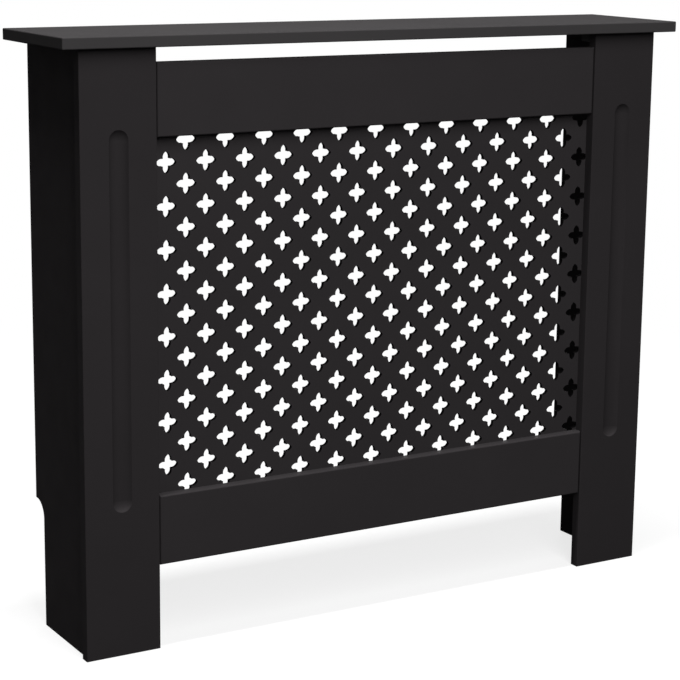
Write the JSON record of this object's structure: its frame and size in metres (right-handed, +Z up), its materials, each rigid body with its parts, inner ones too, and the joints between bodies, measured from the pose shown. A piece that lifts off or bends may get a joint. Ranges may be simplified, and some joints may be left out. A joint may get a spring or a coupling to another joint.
{
  "type": "radiator cover cabinet",
  "caption": "Free-standing radiator cover with L-shaped fluted legs, top and bottom rails, a lattice panel of four-lobed holes and an overhanging shelf, open at the back.",
  "frame": {"origin": "on the floor, under the middle of the shelf's width and depth", "axes": "+X along the width to the right as seen from the front, +Y towards the wall behind, +Z up; the front with the lattice and flutes faces -Y"},
  "size_m": [0.96, 0.2, 0.815],
  "materials": {
    "painted_board": "MDF board sprayed matt black",
    "painted_shelf": "MDF shelf sprayed matt black",
    "painted_lattice": "thin pierced fibreboard sprayed matt black",
    "painted_batten": "softwood batten sprayed black with the leg",
    "beech_dowel": "plain beech",
    "zinc_steel": "zinc-plated steel",
    "zinc_screws": "zinc-plated steel"
  },
  "bodies": {
    "root": {"batten_screws": "zinc_screws", "bottom_left_rail_plate": "zinc_steel", "bottom_rail": "painted_board", "bottom_right_rail_plate": "zinc_steel", "bracket_screws": "zinc_screws", "cleat_screws": "zinc_screws", "lattice_panel": "painted_lattice", "lattice_screws": "zinc_screws", "left_corner_batten": "painted_batten", "left_post_front": "painted_board", "left_shelf_cleat": "painted_batten", "left_side_panel": "painted_board", "left_wall_bracket": "zinc_steel", "rail_dowels": "beech_dowel", "rail_plate_screws": "zinc_screws", "right_corner_batten": "painted_batten", "right_post_front": "painted_board", "right_shelf_cleat": "painted_batten", "right_side_panel": "painted_board", "right_wall_bracket": "zinc_steel", "shelf_dowels": "beech_dowel", "top_left_rail_plate": "zinc_steel", "top_rail": "painted_board", "top_right_rail_plate": "zinc_steel", "top_shelf": "painted_shelf"}
  },
  "joints": []
}
